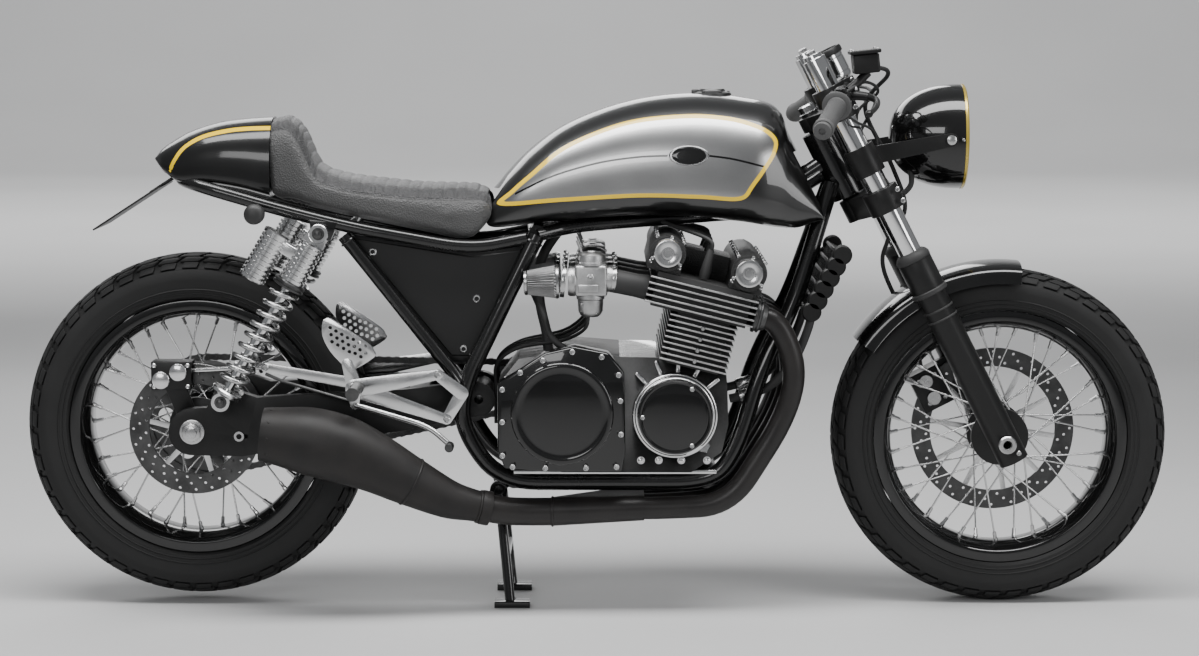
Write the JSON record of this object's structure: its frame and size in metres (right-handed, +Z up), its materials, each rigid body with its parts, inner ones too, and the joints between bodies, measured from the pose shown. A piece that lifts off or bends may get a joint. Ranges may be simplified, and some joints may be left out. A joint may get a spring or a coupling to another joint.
{
  "type": "cafe racer motorcycle",
  "caption": "Cafe racer motorcycle on its centre stand: spoked wheels, low bars, sculpted tank, humped single seat and an open-framed engine.",
  "frame": {"origin": "on the floor, at the middle of the bounding box's underside", "axes": "+X forward, +Y to the rider's left, +Z up"},
  "size_m": [2.072, 0.7324, 1.0159],
  "materials": {
    "tyre": "matte",
    "rim": "gloss",
    "spoke_steel": "satin",
    "black_metal": "satin",
    "gloss_black": "gloss",
    "disc_steel": "ground",
    "bright_steel": "polished",
    "dark_steel": "oiled",
    "chrome": "polished",
    "grip_rubber": "matte",
    "hose_rubber": "matte",
    "lens_glass": "clear with a pale yellow cast",
    "red_lens": "gloss",
    "black_plastic": "satin",
    "seat_leather": "satin",
    "cast_alloy": "bead blasted",
    "fin_alloy": "black with bare fin edges",
    "polished_alloy": "polished",
    "filter_mesh": "woven mesh",
    "exhaust_black": "matte heat-proof",
    "spring_steel": "satin"
  },
  "bodies": {
    "root": {"rear_axle": "bright_steel", "steering_head": "gloss_black", "frame": "gloss_black", "rear_frame": "gloss_black", "fuel_tank": "gloss_black", "fuel_cap": "dark_steel", "seat": "seat_leather", "tail_cowl": "gloss_black", "tail_light": "red_lens", "plate_bracket": "black_metal", "indicators": "black_plastic", "side_panels": "black_metal", "crankcase": "cast_alloy", "cylinders": "fin_alloy", "cylinder_head": "fin_alloy", "cam_cover": "gloss_black", "right_engine_covers": "gloss_black", "left_engine_covers": "gloss_black", "carburettors": "cast_alloy", "air_filters": "filter_mesh", "oil_cooler": "black_metal", "exhaust_pipes": "exhaust_black", "silencer": "exhaust_black", "swingarm": "black_metal", "shock_absorbers": "bright_steel", "shock_springs": "spring_steel", "drive_chain": "dark_steel", "rear_caliper": "black_metal", "footrests": "polished_alloy", "stand_lugs": "black_metal"},
    "steering": {"front_axle": "bright_steel", "fork_yokes": "black_metal", "fork_tubes": "chrome", "fork_sliders": "black_metal", "handlebars": "black_metal", "grips": "grip_rubber", "hand_controls": "black_metal", "headlight_shell": "gloss_black", "headlight_lens": "lens_glass", "headlight_bracket": "black_metal", "speedometer": "chrome", "front_mudguard": "gloss_black", "front_caliper": "black_metal", "front_brake_hose": "hose_rubber"},
    "front_wheel": {"front_tyre": "tyre", "front_rim": "rim", "front_spokes": "spoke_steel", "front_hub": "black_metal", "front_disc": "disc_steel"},
    "rear_wheel": {"rear_tyre": "tyre", "rear_rim": "rim", "rear_spokes": "spoke_steel", "rear_hub": "black_metal", "rear_disc": "disc_steel", "rear_sprocket": "dark_steel"},
    "centre_stand": {"centre_stand": "black_metal"}
  },
  "joints": [
    {"name": "steering_turn", "type": "hinge", "parent": "root", "child": "steering", "pos_m": [0.42305, 0, 0.81026], "axis": [-0.454, 0, 0.891], "range_deg": [-28, 28]},
    {"name": "front_wheel_spin", "type": "hinge", "parent": "steering", "child": "front_wheel", "pos_m": [0.731, 0, 0.305], "axis": [0, 1, 0], "continuous": true},
    {"name": "rear_wheel_spin", "type": "hinge", "parent": "root", "child": "rear_wheel", "pos_m": [-0.724, 0, 0.326], "axis": [0, 1, 0], "continuous": true},
    {"name": "centre_stand_fold", "type": "hinge", "parent": "root", "child": "centre_stand", "pos_m": [-0.178, 0, 0.214], "axis": [0, 1, 0], "range_deg": [0, 75]}
  ]
}
